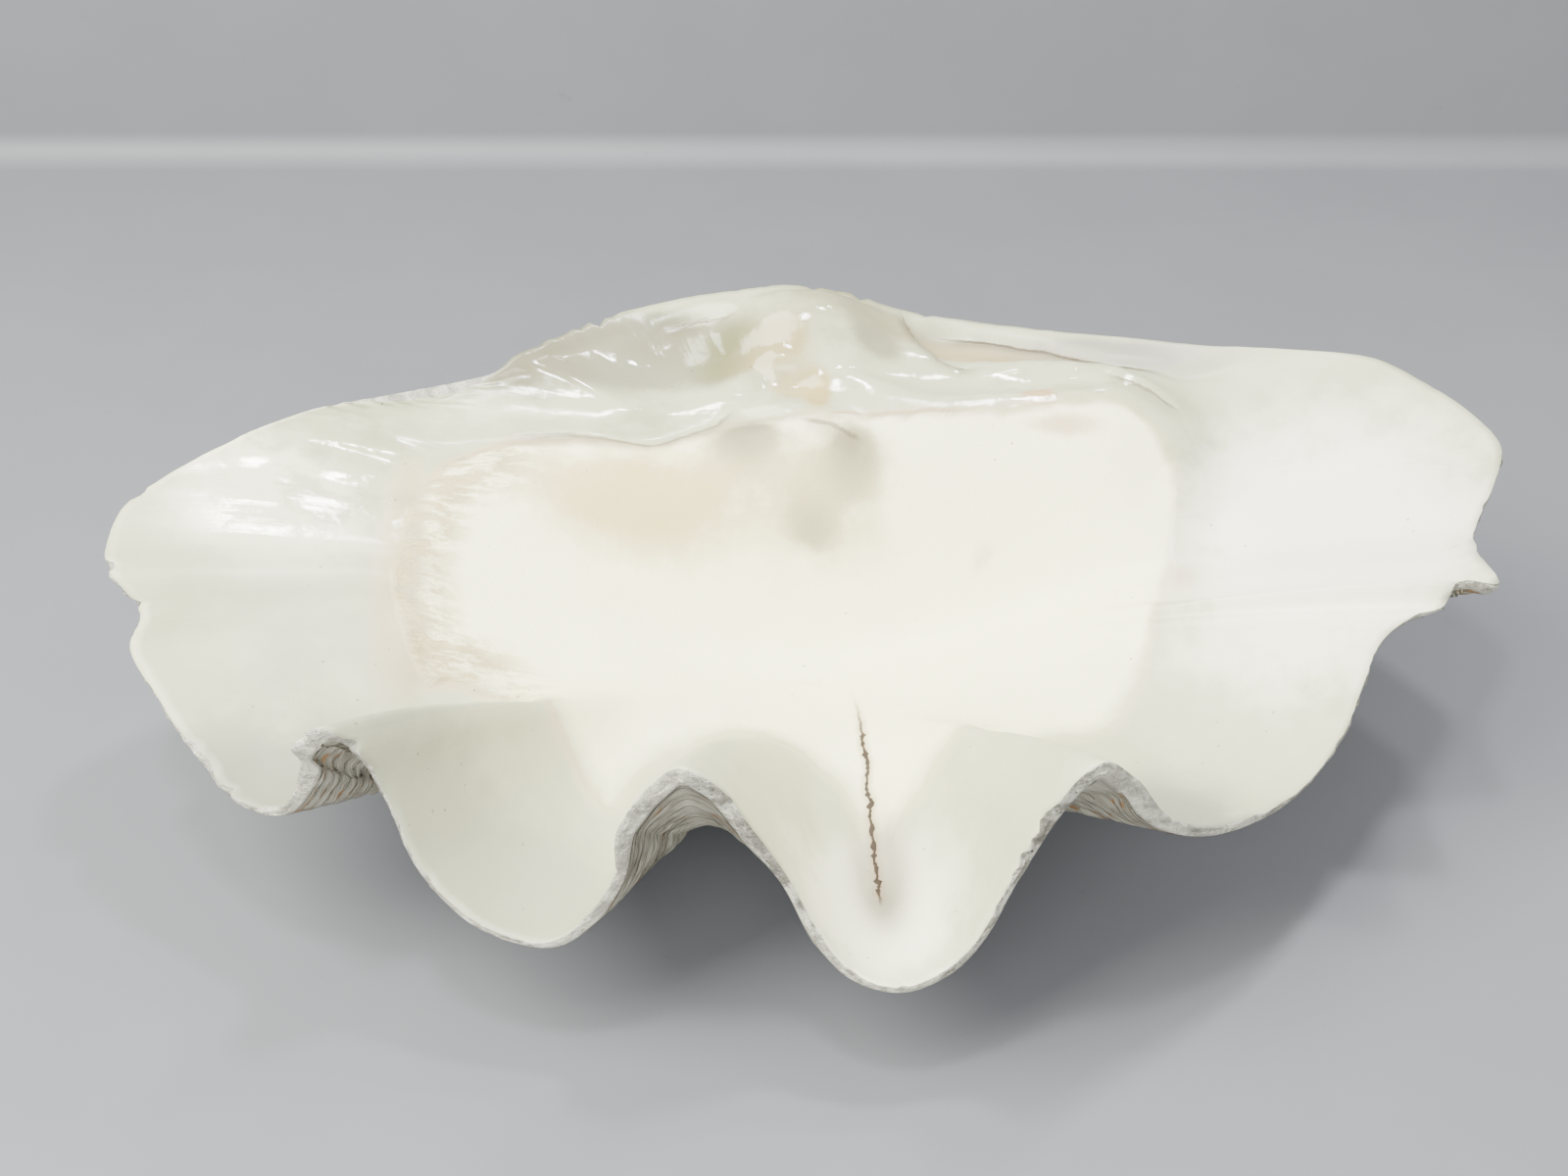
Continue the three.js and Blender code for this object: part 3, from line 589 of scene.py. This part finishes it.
def buildValveMesh(shape):
    segments = shape["segmentsPerStation"] * len(shape["lip"])
    insideCount = shape["insideRings"]
    rimCount = shape["rimRings"]
    ringCount = insideCount + rimCount + shape["outsideRings"]
    # a grid rolled up to a closed skin: hollow, broken rim, outside
    bpy.ops.object.select_all(action="DESELECT")
    bpy.ops.mesh.primitive_grid_add(x_subdivisions=segments, y_subdivisions=ringCount + 1, size=1)
    valve = bpy.context.object
    valve.name = "shellValve"
    mesh = valve.data
    mesh.name = "shellValve"
    start = np.empty(len(mesh.vertices) * 3)
    mesh.vertices.foreach_get("co", start)
    start = start.reshape(-1, 3) + 0.5
    turnOf = np.rint(start[:, 0] * segments).astype(int) % segments
    ringOf = np.rint(start[:, 1] * (ringCount + 1)).astype(int) - 1  # -1 and ringCount are the ends

    lip = drawLip(shape)
    weights, position = lipWeights(lip, shape["foldSmoothing"])
    mean = weights @ lip
    shares = (np.arange(1, insideCount + 1) / insideCount) ** shape["insideSpread"]
    t = np.arange(shape["outsideRings"]) / shape["outsideRings"]
    even = shape["outsideEvenness"]
    angles = shape["lastGrowthAngle"] * (even * t + (1 - even) * t ** 6)
    inside = np.array([insidePoints(shape, lip, mean, share) for share in shares])
    for ring, share in zip(inside, shares):
        ring[:, 2] += hingeRelief(shape, ring[:, 0], ring[:, 1], share)
    outside = drawOutside(shape, lip, mean, angles)
    thickness = edgeThickness(shape, lip)
    thickenWall(shape, outside, inside, angles, thickness)
    outside, depth, groove = addLedges(shape, outside)
    shareOf = shares[:, None] * np.ones(segments)
    height, pallial = reliefInside(shape, inside, shareOf, lip, position[:-1])
    inside -= facings(inside) * height[..., None]

    # chipped lip, and the broken rim between the two corners
    shift = chipLip(shape, inside[-1], mean) - inside[-1]
    inside += shift * smoothstep(shares, 0.94, 1.0)[:, None, None]
    out = unit(inside[-1] - inside[-3])
    rim = []
    for k in range(rimCount):
        share = (k + 1) / (rimCount + 1)
        line = lerp(inside[-1], outside[0], share)
        pits = shape["rimRoughness"] * wander(line + k * 3.1, shape["rimGrain"], 12, 3)
        bulge = shape["rimBulge"] * thickness / shape["lipThickness"][1] + pits
        rim.append(line + out * (bulge * math.sin(math.pi * share))[:, None])
    rings = np.concatenate([inside, np.array(rim), outside])
    rings[..., 2] = np.maximum(rings[..., 2], shape["wornFlatHeight"])

    pick = np.clip(ringOf, 0, ringCount - 1)
    places = rings[pick, turnOf]
    places[ringOf < 0] = shape["bowlBottom"]
    places[ringOf >= ringCount] = shape["beak"]
    finalPlaces = np.clip((places + np.array(shape["frameShift"])) * mm, np.array(cadLow), np.array(cadHigh))
    mesh.vertices.foreach_set("co", finalPlaces.ravel())
    mesh.update()

    # what the materials read: marks on the surface, one number or colour for each vertex
    hollow = pick < insideCount
    outZeros = np.zeros(outside.shape[:2])
    for name, inValues, rimValue, outValues in (
            ("pallial", pallial, -30, outZeros - 30), ("shareToLip", shareOf, 1, outZeros + 1),
            ("groove", shareOf * 0, 0, groove), ("depth", shareOf * 0, 0, depth)):
        stack = np.concatenate([inValues, np.full((rimCount, segments), rimValue), outValues])
        keepValues(mesh, name, stack[pick, turnOf])
    for name in ("polish", "brokenOff"):
        keepValues(mesh, name, np.clip(sum(mound(*places[:, :2].T, *each) for each in shape[name]), 0, 1))
    # distance to each crease line, which the painted crease shade reads
    for number, (line, _, _) in enumerate(shape["creases"]):
        away, along, side = toLine(*places[:, :2].T, line)
        seen = smoothstep(along, 0, 0.2) * (1 - smoothstep(along, 0.8, 1)) * hollow
        crease = np.stack([np.clip(away * side, -60, 60), seen, 0 * seen], -1)
        keepValues(mesh, "crease%d" % number, crease, "FLOAT_VECTOR", "vector")
    tint = np.zeros((len(places), 4))
    tint[:, :3] = hexColor(shape["plainTint"])[:3]
    for centre, reach, color, strength in shape["stainsAndShading"]:
        amount = mound(*places[:, :2].T, centre, reach, strength) * hollow
        weight = amount / np.maximum(amount + tint[:, 3], 1e-4)
        tint[:, :3] = lerp(tint[:, :3], np.array(hexColor(color)[:3]), weight[:, None])
        tint[:, 3] = 1 - (1 - tint[:, 3]) * (1 - amount)
    keepValues(mesh, "tint", tint, "FLOAT_COLOR", "color")

    # hollow, rim and outside each have their own finish
    firsts = np.empty(len(mesh.polygons), int)
    mesh.polygons.foreach_get("loop_start", firsts)
    corners = np.empty(len(mesh.loops), int)
    mesh.loops.foreach_get("vertex_index", corners)
    faceRing = np.maximum.reduce([ringOf[corners[firsts + k]] for k in range(4)])
    finish = np.where(faceRing < insideCount, 0, np.where(faceRing <= insideCount + rimCount, 1, 2))
    mesh.polygons.foreach_set("material_index", finish.astype(np.int32))

    bpy.ops.object.mode_set(mode="EDIT")
    bpy.ops.mesh.select_all(action="SELECT")
    bpy.ops.mesh.remove_doubles(threshold=1e-6)
    bpy.ops.mesh.select_all(action="DESELECT")
    bpy.ops.object.mode_set(mode="OBJECT")
    bpy.ops.object.shade_smooth()
    return valve


valve = buildValveMesh(valveShape)
print("valve shaped:", len(valve.data.polygons), "faces")

porcelainFinish = {
    # aragonite, polished by the animal: dense, white, glossy outside the pallial line, chalkier within
    "innerWhite": "#fffcd2",
    "marginWhite": "#b8ba9c",
    # marks over the white, in the order they lie: colour and strength
    "paints": {
        "clouds": ("#e2dcc4", 0.3),
        "pallialLine": ("#c8b392", 1),
        # stains, painted shade and painted light, from the tint
        "stainsAndShading": ("tint", 1),
        "mottling": ("#85846f", 0.4),
        "crumbly": ("#c6b98c", 1),
        "creases": ("#5c513f", 1),
        # painted shade in the hinge creases
        "plateEdge": ("#a5875c", 0.6),
        "crackStain": ("#96795a", 0.55),
        "crack": ("#33251a", 1),
        "specks": ("#5a5448", 0.6),
    },
    "patterns": {
        "clouds": (28, 5, 0.6),
        "fine": (3, 6, 0.65),
        "stainEdge": (13, 6, 0.62),
        "mottling": (17, 7, 0.66, 0.6, 1.2, 1),
        "streaks": (7, 5, 0.68, 0.5, 2.2, 0.5),
        "plateEdge": (12, 2, 0.55),
        "specks": (60, 2, 0.55),
        "ripple": (16, 3, 0.5),
        "grain": (1.2, 3, 0.6),
    },
    "masks": {  # what each goes by, where it is nothing and where it is full; x and y in mm
        "crispLine": ("y", -25, 20),  # the line is crisp behind, soft on the front folds
        "leftSide": ("x", -20, -110),
        "backHalf": ("y", -30, 30),
        "clouded": ("clouds", 0.45, 0.75),
        "tintAmount": ("tint", 0.02, 0.7),
        "mottled": ("mottling", 0.47, 0.66),
        "insideLine": ("pallial", -1.5, 1.5),
        "nearLine": ("pallial", 22, 9),
        "farLeft": ("x", -65, -100),
        "streaked": ("streaks", 0.42, 0.56),
        "plateFrom": ("x", 6, 14),
        "plateTo": ("x", 60, 46),
        "crackFrom": ("y", -93, -85),
        "crackTo": ("y", 1, -29),
        "margin": ("shareToLip", 0.55, 0.95),
        "step": ("pallial", -1.2, 1.2),
    },
    "plateEdge": (56.6, 0.055),  # y in mm at x = 0, and its slope
    "crackLine": (17.6, -0.052),  # x in mm at y = 0, and its slope
    "crackBends": (0.09, 4),  # waves for each mm, and how far they reach in mm
    "crackBeads": (0.35, 5),
    "crackWidth": 0.5,  # mm
    "speckSpacing": 1 / 150,  # m
    "speckSize": 0.06,  # share of the spacing
    "striaeStretch": (420, 4, 1000),  # fine lines along the lip, on the UV map
    "glossyRoughness": 0.07,
    "chalkyRoughness": 0.48,
    "ior": 1.53,
}


def porcelainShell(finish, shape):
    material, tree, place, known = newMaterial("porcelainShell", finish["patterns"])
    fine = known["fine"]
    for axis, shift in zip("xy", shape["frameShift"]):
        source = addNode(tree, "SeparateXYZ", [place]).outputs[axis.upper()]
        known[axis] = addNode(tree, "Math", [source, 1000.0, -shift], operation="MULTIPLY_ADD")
    for name in ("pallial", "shareToLip", "polish"):
        known[name] = addNode(tree, "Attribute", attribute_name=name).outputs["Fac"]
    tint = addNode(tree, "Attribute", attribute_name="tint").outputs
    known["tint"] = tint["Alpha"]
    masks = {name: addNode(tree, "MapRange", [known[source], low, high], **eased)
             for name, (source, low, high) in finish["masks"].items()}
    x, y, pallial = known["x"], known["y"], known["pallial"]
    # inside the pallial line, and the polish outside it
    crisp = addNode(tree, "Math", [masks["crispLine"], 0.75, 0.25], operation="MULTIPLY_ADD")
    sharpened = addNode(tree, "Math", [pallial, crisp], operation="MULTIPLY")
    within = addNode(tree, "MapRange", [sharpened, -1.2, 2.2], **eased)
    without = addNode(tree, "Math", [1.0, within], operation="SUBTRACT")
    polish = addNode(tree, "Math", [known["polish"], without], operation="MULTIPLY")
    # brown line where the mantle was fastened, stronger on the left
    ragged = addNode(tree, "Math", [fine, 3.0, -1.0], operation="MULTIPLY_ADD")
    offLine = addNode(tree, "Math", [addNode(tree, "Math", [pallial, ragged], operation="ADD")], operation="ABSOLUTE")
    onLine = addNode(tree, "MapRange", [offLine, 3.2, 0.3], **eased)
    lineStrength = addNode(tree, "Math", [masks["backHalf"], 0.12, 0.26], operation="MULTIPLY_ADD")
    lineStrength = addNode(tree, "Math", [masks["leftSide"], 0.45, lineStrength], operation="MULTIPLY_ADD")
    # stains, painted shade and painted light, with blotchy edges
    blotched = addNode(tree, "Math", [known["stainEdge"], 1.1, tint["Alpha"]], operation="MULTIPLY_ADD")
    blotched = addNode(tree, "MapRange", [blotched, 0.6, 1.15], **eased)
    # painted shade in the creases of the hinge, and a painted shadow spread a little on one side
    creaseShadow = 0.0
    for number, (_, width, strength) in enumerate(shape["creases"]):
        read = addNode(tree, "Attribute", attribute_name="crease%d" % number).outputs["Vector"]
        crease = addNode(tree, "SeparateXYZ", [read]).outputs
        shifted = addNode(tree, "Math", [crease["X"], -0.6], operation="ADD")
        away = addNode(tree, "Math", [fine, 1.2, shifted], operation="MULTIPLY_ADD")
        off = addNode(tree, "Math", [away], operation="ABSOLUTE")
        paintedShade = addNode(tree, "MapRange", [off, width, 0.2 * width], **eased)
        sideShadow = 0.55
        for low, high in ((-6.0, 0.0), (0.6, 0.0)):
            side = addNode(tree, "MapRange", [away, low, high], **eased)
            sideShadow = addNode(tree, "Math", [side, sideShadow], operation="MULTIPLY")
        paintedShade = addNode(tree, "Math", [paintedShade, sideShadow], operation="MAXIMUM")
        for part in (strength, crease["Y"]):
            paintedShade = addNode(tree, "Math", [paintedShade, part], operation="MULTIPLY")
        creaseShadow = addNode(tree, "Math", [paintedShade, creaseShadow], operation="MAXIMUM")
    # thin brown line along the plate's edge
    level, slope = finish["plateEdge"]
    offPlate = addNode(tree, "Math", [x, -slope, addNode(tree, "Math", [y, level], operation="SUBTRACT")],
                       operation="MULTIPLY_ADD")
    ragged = addNode(tree, "Math", [known["plateEdge"], 3.0, -1.5], operation="MULTIPLY_ADD")
    offPlate = addNode(tree, "Math", [offPlate, ragged], operation="ADD")
    offPlate = addNode(tree, "Math", [offPlate], operation="ABSOLUTE")
    onPlate = addNode(tree, "MapRange", [offPlate, 1.0, 0.2], **eased)
    # the crack in the third hollow, thin and beaded, and the stain round it
    level, slope = finish["crackLine"]
    often, reach = finish["crackBends"]
    bends = addNode(tree, "TexNoise", {"W": y, "Scale": often, "Detail": 4.0}, noise_dimensions="1D")
    bends = addNode(tree, "Math", [bends, reach, -reach / 2], operation="MULTIPLY_ADD")
    middle = addNode(tree, "Math", [y, slope, level], operation="MULTIPLY_ADD")
    middle = addNode(tree, "Math", [middle, bends], operation="ADD")
    offCrack = addNode(tree, "Math", [addNode(tree, "Math", [x, middle], operation="SUBTRACT")], operation="ABSOLUTE")
    alongCrack = addNode(tree, "Math", [masks["crackFrom"], masks["crackTo"]], operation="MULTIPLY")
    often, reach = finish["crackBeads"]
    beads = addNode(tree, "TexNoise", {"W": y, "Scale": often, "Detail": 3.0}, noise_dimensions="1D")
    beads = addNode(tree, "Math", [beads, reach, -2.0], operation="MULTIPLY_ADD")
    width = addNode(tree, "Math", [beads, 0.15], operation="MAXIMUM")
    for part in (alongCrack, finish["crackWidth"]):
        width = addNode(tree, "Math", [width, part], operation="MULTIPLY")
    beside = addNode(tree, "Math", [offCrack, width], operation="SUBTRACT")
    crack = addNode(tree, "MapRange", [beside, 0.35, 0.0], **eased)
    crack = addNode(tree, "Math", [crack, alongCrack], operation="MULTIPLY")
    halo = addNode(tree, "MapRange", [offCrack, 2.8, 0.2], **eased)
    # dark specks, the size of sand
    dots = addNode(tree, "TexVoronoi", {"Vector": place, "Scale": 1 / finish["speckSpacing"], "Randomness": 1.0})
    dot = addNode(tree, "Math", [dots.outputs["Distance"], finish["speckSize"]], operation="LESS_THAN")
    dotted = addNode(tree, "Math", [known["specks"], 0.52], operation="GREATER_THAN")

    crumbly = masks["insideLine"]
    for part in (masks["nearLine"], masks["farLeft"]):
        crumbly = addNode(tree, "Math", [crumbly, part], operation="MULTIPLY")
    layers = {
        "clouds": [masks["clouded"]],
        "pallialLine": [onLine, lineStrength],
        "stainsAndShading": [blotched, masks["tintAmount"]],
        "mottling": [polish, masks["mottled"]],
        "crumbly": [crumbly, masks["streaked"]],
        "creases": [creaseShadow],
        "plateEdge": [onPlate, masks["plateFrom"], masks["plateTo"]],
        "crackStain": [halo, alongCrack],
        "crack": [crack],
        "specks": [dot, dotted],
    }
    color = addNode(tree, "Mix", {0: within, 6: hexColor(finish["marginWhite"]), 7: hexColor(finish["innerWhite"])},
                    data_type="RGBA")
    for name, (paint, amount) in finish["paints"].items():
        for part in layers[name]:
            amount = addNode(tree, "Math", [part, amount], operation="MULTIPLY")
        paint = tint["Color"] if paint == "tint" else hexColor(paint)
        color = addNode(tree, "Mix", {0: amount, 6: color, 7: paint}, data_type="RGBA")
    # gloss: polished on the hinge and the left lobe, satin elsewhere, chalky within the line
    worn = addNode(tree, "Math", [fine, 0.3, 0.85], operation="MULTIPLY_ADD")
    gloss = addNode(tree, "Math", [polish, worn], operation="MULTIPLY")
    chalk = addNode(tree, "Math", [1.0, gloss], operation="SUBTRACT")
    roughness = addNode(tree, "Mix", {0: chalk, 2: finish["glossyRoughness"], 3: finish["chalkyRoughness"]})
    # fine relief: what each part goes by, and its height in mm
    lines = addNode(tree, "Mapping", {"Vector": addNode(tree, "UVMap"), "Scale": finish["striaeStretch"]})
    striae = addNode(tree, "TexNoise", {"Vector": lines, "Scale": 1.0, "Detail": 2.0, "Roughness": 0.5})
    crumbs = addNode(tree, "Math", [crumbly, known["streaks"]], operation="MULTIPLY")
    relief = 0.0
    for part, height in (
            (known["ripple"], 0.45),
            (fine, addNode(tree, "Math", [within, 0.22, 0.05], operation="MULTIPLY_ADD")),
            (known["grain"], addNode(tree, "Math", [within, 0.06], operation="MULTIPLY")),
            (striae, addNode(tree, "Math", [masks["margin"], 0.12], operation="MULTIPLY")),
            (crack, -0.9), (crumbs, -2.6), (creaseShadow, -0.5), (masks["step"], 0.35)):
        relief = addNode(tree, "Math", [part, height, relief], operation="MULTIPLY_ADD")
    bump = addNode(tree, "Bump", {"Strength": 1.0, "Distance": mm, "Height": relief})
    shader = addNode(tree, "BsdfPrincipled", {"IOR": finish["ior"], "Base Color": color, "Roughness": roughness,
                                              "Normal": bump})
    addNode(tree, "OutputMaterial", {"Surface": shader})
    return material


brokenFinish = {
    # fractured crystals: greyer, a little glassy, pitted
    "light": "#e0ded0",
    "dark": "#827f76",
    "pit": "#3d382f",
    "patterns": {
        "grains": (2.2, 5, 0.7),
        "patches": (6, 4, 0.65),
    },
    "roughness": 0.2,
    "ior": 1.53,
    "relief": 3.2,  # mm
}


def brokenRim(finish):
    material, tree, _, pattern = newMaterial("brokenShellEdge", finish["patterns"])
    brokenOff = addNode(tree, "Attribute", attribute_name="brokenOff").outputs["Fac"]
    dark = addNode(tree, "MapRange", [pattern["patches"], 0.62, 0.4], **eased)
    strength = addNode(tree, "Math", [brokenOff, 0.4, 0.6], operation="MULTIPLY_ADD")
    dark = addNode(tree, "Math", [dark, strength], operation="MULTIPLY")
    color = addNode(tree, "Mix", {0: dark, 6: hexColor(finish["light"]), 7: hexColor(finish["dark"])}, data_type="RGBA")
    pits = brokenOff
    for name, low, high in (("grains", 0.42, 0.34), ("patches", 0.5, 0.62)):
        part = addNode(tree, "MapRange", [pattern[name], low, high], **eased)
        pits = addNode(tree, "Math", [part, pits], operation="MULTIPLY")
    color = addNode(tree, "Mix", {0: pits, 6: color, 7: hexColor(finish["pit"])}, data_type="RGBA")
    height = addNode(tree, "Math", [pits, -1.2, pattern["grains"]], operation="MULTIPLY_ADD")
    bump = addNode(tree, "Bump", {"Strength": 1.0, "Distance": finish["relief"] * mm, "Height": height})
    shader = addNode(tree, "BsdfPrincipled", {"IOR": finish["ior"], "Roughness": finish["roughness"],
                                              "Base Color": color, "Normal": bump})
    addNode(tree, "OutputMaterial", {"Surface": shader})
    return material


chalkFinish = {
    # the outside: layers of growth, weathered dull, dirt left in their grooves
    "light": "#aeac9d",
    "shade": "#8e8b80",
    "groove": "#5f574a",
    "rust": "#85643f",
    "patterns": {
        "clouds": (22, 5, 0.6),
        "fine": (1.6, 5, 0.65),
        "rust": (14, 2, 0.55),
    },
    "growthLines": 1.1,  # for each mm down from the lip
    "roughness": 0.62,
    "ior": 1.5,
    "relief": 1.2,  # mm
}


def chalkyOutside(finish):
    material, tree, _, known = newMaterial("chalkyShell", finish["patterns"])
    known["groove"], depth = (addNode(tree, "Attribute", attribute_name=name).outputs["Fac"]
                              for name in ("groove", "depth"))
    wavyDepth = addNode(tree, "Math", [known["clouds"], 5.0, depth], operation="MULTIPLY_ADD")
    known["lines"] = addNode(tree, "TexNoise", {"W": wavyDepth, "Scale": finish["growthLines"], "Detail": 4.0},
                             noise_dimensions="1D")
    color = hexColor(finish["shade"])
    for paint, strength, bounds in (
            ("light", 1.0, [("clouds", 0.35, 0.65)]), ("shade", 0.4, [("lines", 0.5, 0.7)]),
            ("groove", 0.65, [("groove", 0.5, 1.1)]), ("rust", 1.0, [("groove", 0.75, 1.0), ("rust", 0.52, 0.62)])):
        amount = strength
        for source, low, high in bounds:
            part = addNode(tree, "MapRange", [known[source], low, high], **eased)
            amount = addNode(tree, "Math", [part, amount], operation="MULTIPLY")
        color = addNode(tree, "Mix", {0: amount, 6: color, 7: hexColor(finish[paint])}, data_type="RGBA")
    height = addNode(tree, "Math", [known["fine"], 0.3], operation="MULTIPLY")
    height = addNode(tree, "Math", [known["lines"], 0.9, height], operation="MULTIPLY_ADD")
    bump = addNode(tree, "Bump", {"Strength": 1.0, "Distance": finish["relief"] * mm, "Height": height})
    shader = addNode(tree, "BsdfPrincipled", {"IOR": finish["ior"], "Roughness": finish["roughness"],
                                              "Base Color": color, "Normal": bump})
    addNode(tree, "OutputMaterial", {"Surface": shader})
    return material


valve.data.materials.append(porcelainShell(porcelainFinish, valveShape))
valve.data.materials.append(brokenRim(brokenFinish))
valve.data.materials.append(chalkyOutside(chalkFinish))
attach(valve, "root")
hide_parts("valve")
print("valve done")

studioSetup = {
    # a sheet of matt grey paper, a little cooler than the light, that turns up behind the part
    "paper": "#66686f",
    "blotch": ("#777a81", 0.12),  # colour and strength
    "scuff": ("#57595e", 0.35),
    "patterns": {
        "blotch": (90, 4, 0.6),
        "scuff": (14, 5, 0.7),
    },
    "bounds": {"blotch": (0.35, 0.7), "scuff": (0.66, 0.74)},
    "roughness": 0.55,
    "size": 6.0,  # m, as below
    "foldAt": 0.505,  # behind the part, where the paper turns up
    "foldRadius": 0.016,
    "foldTurns": 10,
    "wallHeight": 0.13,
    # lamps: place, size, power in watts and colour; the last three make the glints
    "lamps": {
        "softOverhead": ((-0.66, -0.3, 0.94), (0.8, 0.8), 46, "#fbf9e8"),
        "softFront": ((-0.15, -1.25, 0.75), (1.2, 0.7), 28, "#fbfaf2"),
        "lampAbove": ((0.2, 0.17, 1.2), (0.12, 0.1), 9, "#ffffff"),
        "lampLeft": ((-0.15, -0.25, 1.2), (0.1, 0.14), 9, "#ffffff"),
        "lampBehind": ((0.42, 0.42, 1.15), (0.09, 0.09), 4, "#ffffff"),
    },
    "lampsAim": (0.0, 0.0, 0.05),
    "room": ("#f3f4ef", 1.1),  # colour and strength of the light from all round
}


def makePaper(setup):
    bpy.ops.object.select_all(action="DESELECT")
    bpy.ops.mesh.primitive_plane_add(size=setup["size"], location=(0, setup["foldAt"] - setup["size"] / 2, 0))
    paper = bpy.context.object
    paper.name = "palePaper"
    bpy.ops.object.transform_apply(location=True, rotation=True, scale=True)
    bpy.ops.object.mode_set(mode="EDIT")
    bm = bmesh.from_edit_mesh(paper.data)
    for edge in bm.edges:
        edge.select_set(all(v.co.y > setup["foldAt"] - 0.01 for v in edge.verts))
    bm.select_flush_mode()
    bmesh.update_edit_mesh(paper.data)
    # round the fold in small turns, then go straight up
    turns = setup["foldTurns"]
    for k in range(turns):
        angle = math.pi / 2 * (k + 0.5) / turns
        length = setup["foldRadius"] * math.pi / 2 / turns
        bpy.ops.mesh.extrude_region_move(TRANSFORM_OT_translate={
            "value": (0, length * math.cos(angle), length * math.sin(angle))})
    bpy.ops.mesh.extrude_region_move(TRANSFORM_OT_translate={"value": (0, 0, setup["wallHeight"])})
    bpy.ops.mesh.select_all(action="DESELECT")
    bpy.ops.object.mode_set(mode="OBJECT")
    bpy.ops.object.shade_smooth()
    material, tree, _, pattern = newMaterial("palePaper", setup["patterns"])
    color = hexColor(setup["paper"])
    for name, (low, high) in setup["bounds"].items():
        paint, strength = setup[name]
        amount = addNode(tree, "MapRange", [pattern[name], low, high], **eased)
        amount = addNode(tree, "Math", [amount, strength], operation="MULTIPLY")
        color = addNode(tree, "Mix", {0: amount, 6: color, 7: hexColor(paint)}, data_type="RGBA")
    shader = addNode(tree, "BsdfPrincipled", {"Roughness": setup["roughness"], "Base Color": color})
    addNode(tree, "OutputMaterial", {"Surface": shader})
    paper.data.materials.append(material)


def addLight(name, place, size, power, color, aim):
    data = bpy.data.lights.new(name, "AREA")
    data.shape = "RECTANGLE"
    data.size, data.size_y = size
    data.energy = power
    data.color = hexColor(color)[:3]
    light = bpy.data.objects.new(name, data)
    bpy.context.scene.collection.objects.link(light)
    light.location = place
    light.rotation_euler = (Vector(aim) - Vector(place)).to_track_quat("-Z", "Y").to_euler()


makePaper(studioSetup)
for name, lamp in studioSetup["lamps"].items():
    addLight(name, *lamp, studioSetup["lampsAim"])
world = bpy.data.worlds.new("studio")
world.use_nodes = True
background = world.node_tree.nodes["Background"].inputs
background["Color"].default_value = hexColor(studioSetup["room"][0])
background["Strength"].default_value = studioSetup["room"][1]
bpy.context.scene.world = world
print("paper and light done")
